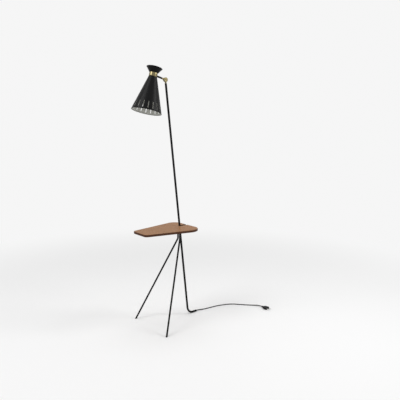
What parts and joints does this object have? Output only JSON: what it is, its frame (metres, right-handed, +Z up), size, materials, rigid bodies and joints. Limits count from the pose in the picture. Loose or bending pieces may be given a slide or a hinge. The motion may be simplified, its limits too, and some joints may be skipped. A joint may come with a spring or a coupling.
{
  "type": "floor lamp with table",
  "caption": "Floor lamp with a leaning black pole, straight legs, an open-slotted teak table board, brass joints and a swivelling double-cone shade.",
  "frame": {"origin": "on the floor, under the middle of the lamp's own box, which leaves out the free cord and its plug", "axes": "+Z up, the pole leans towards -X and lies in the plane Y = 0, the cord leaves towards +X"},
  "size_m": [0.7973, 0.4523, 1.4506],
  "materials": {
    "black_paint": "satin powder coat",
    "hub_casting": "black cast, satin",
    "black_plastic": "moulded, matt",
    "teak": "oiled teak, dark edge",
    "steel": "zinc plated",
    "cord_sheath": "soft PVC",
    "brass": "polished and lacquered",
    "white_nylon": "nylon",
    "wire_sleeve": "heat-proof sleeve",
    "opal_glass": "opal",
    "plug_plastic": "moulded",
    "pin_metal": "nickel plated"
  },
  "bodies": {
    "root": {"pole": "black_paint", "leg_left": "black_paint", "leg_right": "black_paint", "hub": "hub_casting", "foot_tip_left": "black_plastic", "foot_tip_right": "black_plastic", "cord_grommet": "black_plastic", "table_board": "teak", "wood_screws": "steel", "hub_grub_screws": "steel", "pole_cable": "cord_sheath", "pole_top_bush": "brass", "cord": "cord_sheath", "plug_body": "plug_plastic", "plug_pins": "pin_metal"},
    "swivel": {"swivel_washer": "white_nylon", "swivel_nut": "steel", "knuckle_base": "brass", "swivel_wire": "wire_sleeve", "friction_washer": "white_nylon", "knuckle_screw": "brass", "knuckle_nut": "brass"},
    "head": {"knuckle_arm": "brass", "arm_tube": "black_paint", "arm_nipple": "steel", "arm_locknut": "steel", "head_wire": "wire_sleeve", "neck_ring": "brass", "shade_cone": "black_paint", "shade_flare": "black_paint", "neck_nipple": "steel", "neck_nut": "brass", "lampholder_body": "black_plastic", "lampholder_sleeve": "brass", "lampholder_contact": "brass", "bulb_cap": "steel", "bulb_glass": "opal_glass"}
  },
  "joints": [
    {"name": "head_swivel", "type": "hinge", "parent": "root", "child": "swivel", "pos_m": [-0.00373, 0, 1.38419], "axis": [-0.108, 0, 0.9942], "range_deg": [-165, 165]},
    {"name": "head_tilt", "type": "hinge", "parent": "swivel", "child": "head", "pos_m": [-0.00373, 0, 1.38419], "axis": [0, 1, 0], "range_deg": [-13, 75]}
  ]
}
